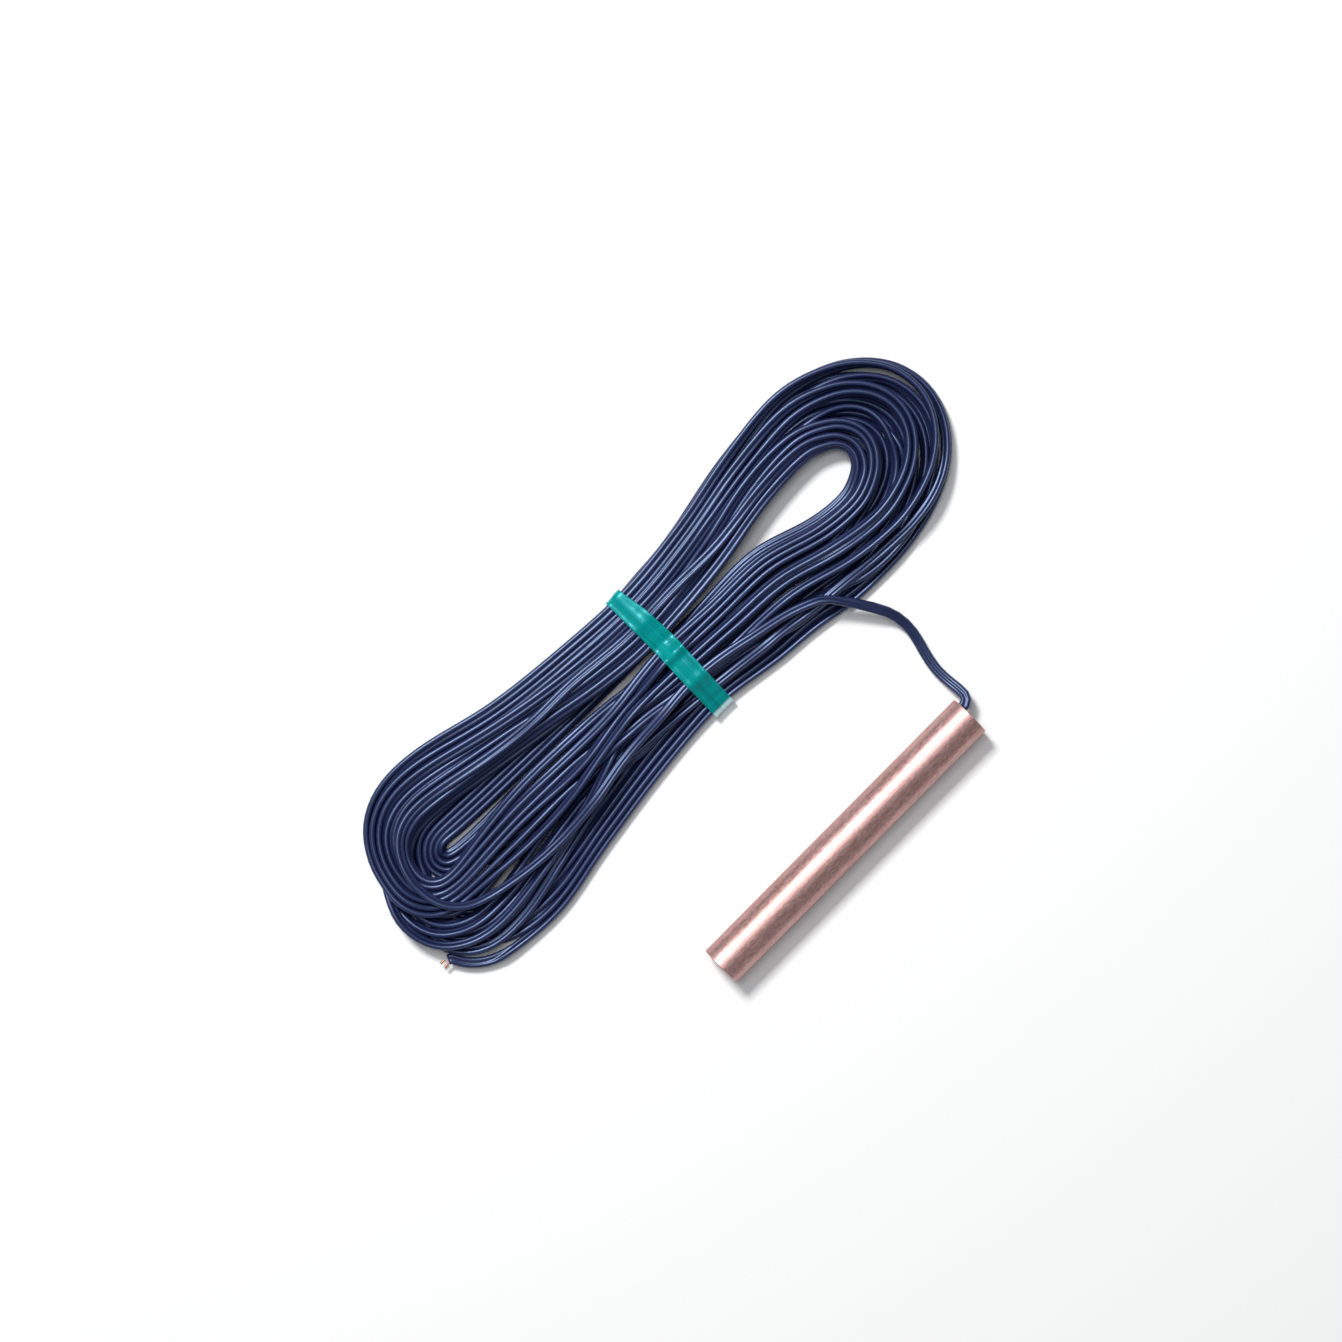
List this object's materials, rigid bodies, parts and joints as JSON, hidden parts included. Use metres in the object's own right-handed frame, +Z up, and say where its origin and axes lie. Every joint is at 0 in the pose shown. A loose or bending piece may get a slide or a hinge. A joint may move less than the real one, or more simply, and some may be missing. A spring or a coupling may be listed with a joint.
{
  "type": "soil moisture sensor",
  "caption": "Sealed copper tube probe for burying in soil, with a flat two-core lead wound into a long hank and held by a plastic tie.",
  "frame": {"origin": "on the surface that the object lies on, under the middle of the copper sheath", "axes": "+X along the sheath from its tip to the end that the lead leaves, +Y across the sheath towards the hank, +Z up"},
  "size_m": [0.2185, 0.1123, 0.0127],
  "materials": {
    "copper_tube": "satin drawn copper",
    "copper_disc": "dull copper",
    "lead_insulation": "glossy navy PVC",
    "tie_plastic": "glossy teal plastic film",
    "core_copper": "bare fine-strand copper",
    "tinned_wire": "tinned",
    "crimp_brass": "tinned brass",
    "shrink_sleeve": "matte",
    "leg_sleeving": "satin",
    "bead_coating": "epoxy coated",
    "filler_resin": "filled resin",
    "potting_resin": "satin resin",
    "seal_rubber": "soft sealant",
    "ferrule_metal": "crimped"
  },
  "bodies": {
    "root": {"copper_sheath": "copper_tube", "tip_disc": "copper_disc", "thermal_filler": "filler_resin", "thermistor_bead": "bead_coating", "thermistor_leg_a": "tinned_wire", "thermistor_leg_b": "tinned_wire", "leg_sleeve_a": "leg_sleeving", "leg_sleeve_b": "leg_sleeving", "splice_crimp_a": "crimp_brass", "splice_crimp_b": "crimp_brass", "splice_sleeve_a": "shrink_sleeve", "splice_sleeve_b": "shrink_sleeve", "conductor_a": "core_copper", "conductor_b": "core_copper", "lead_inner": "lead_insulation", "retaining_ferrule": "ferrule_metal", "potting_compound": "potting_resin", "mouth_seal": "seal_rubber", "lead_free": "lead_insulation", "lead_hank": "lead_insulation", "tie_band": "tie_plastic", "far_tail_a": "core_copper", "far_tail_b": "core_copper"}
  },
  "joints": []
}
